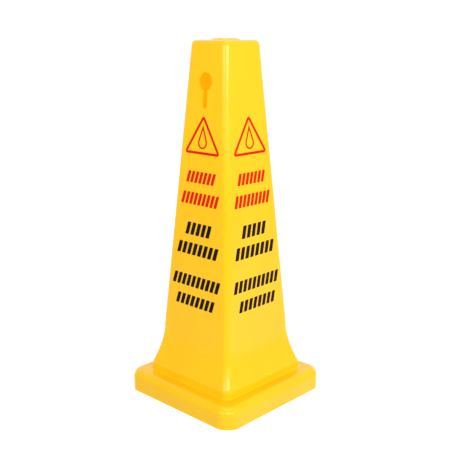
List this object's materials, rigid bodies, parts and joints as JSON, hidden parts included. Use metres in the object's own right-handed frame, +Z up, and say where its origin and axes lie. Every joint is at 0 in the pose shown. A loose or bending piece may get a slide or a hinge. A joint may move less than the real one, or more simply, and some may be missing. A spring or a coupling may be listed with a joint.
{
  "type": "wet floor caution cone",
  "caption": "Four-sided hollow caution cone for wet floors, with a flared block base, chain keyholes and printed faces.",
  "frame": {"origin": "centre of the square footprint on the floor", "axes": "+Z up along the cone's axis; front face with a keyhole is -Y, the plain right face is +X"},
  "size_m": [0.268, 0.268, 0.66],
  "materials": {
    "moulding": "glossy yellow plastic as moulded, taken to be polypropylene",
    "red_print": "satin red screen-print ink",
    "black_print": "satin black screen-print ink"
  },
  "bodies": {
    "root": {"cone_body": "moulding", "front_hazard_symbol": "red_print", "front_red_lines": "red_print", "front_black_lines": "black_print", "right_hazard_symbol": "red_print", "right_red_lines": "red_print", "right_black_lines": "black_print", "back_hazard_symbol": "red_print", "back_red_lines": "red_print", "back_black_lines": "black_print", "left_hazard_symbol": "red_print", "left_red_lines": "red_print", "left_black_lines": "black_print"}
  },
  "joints": []
}
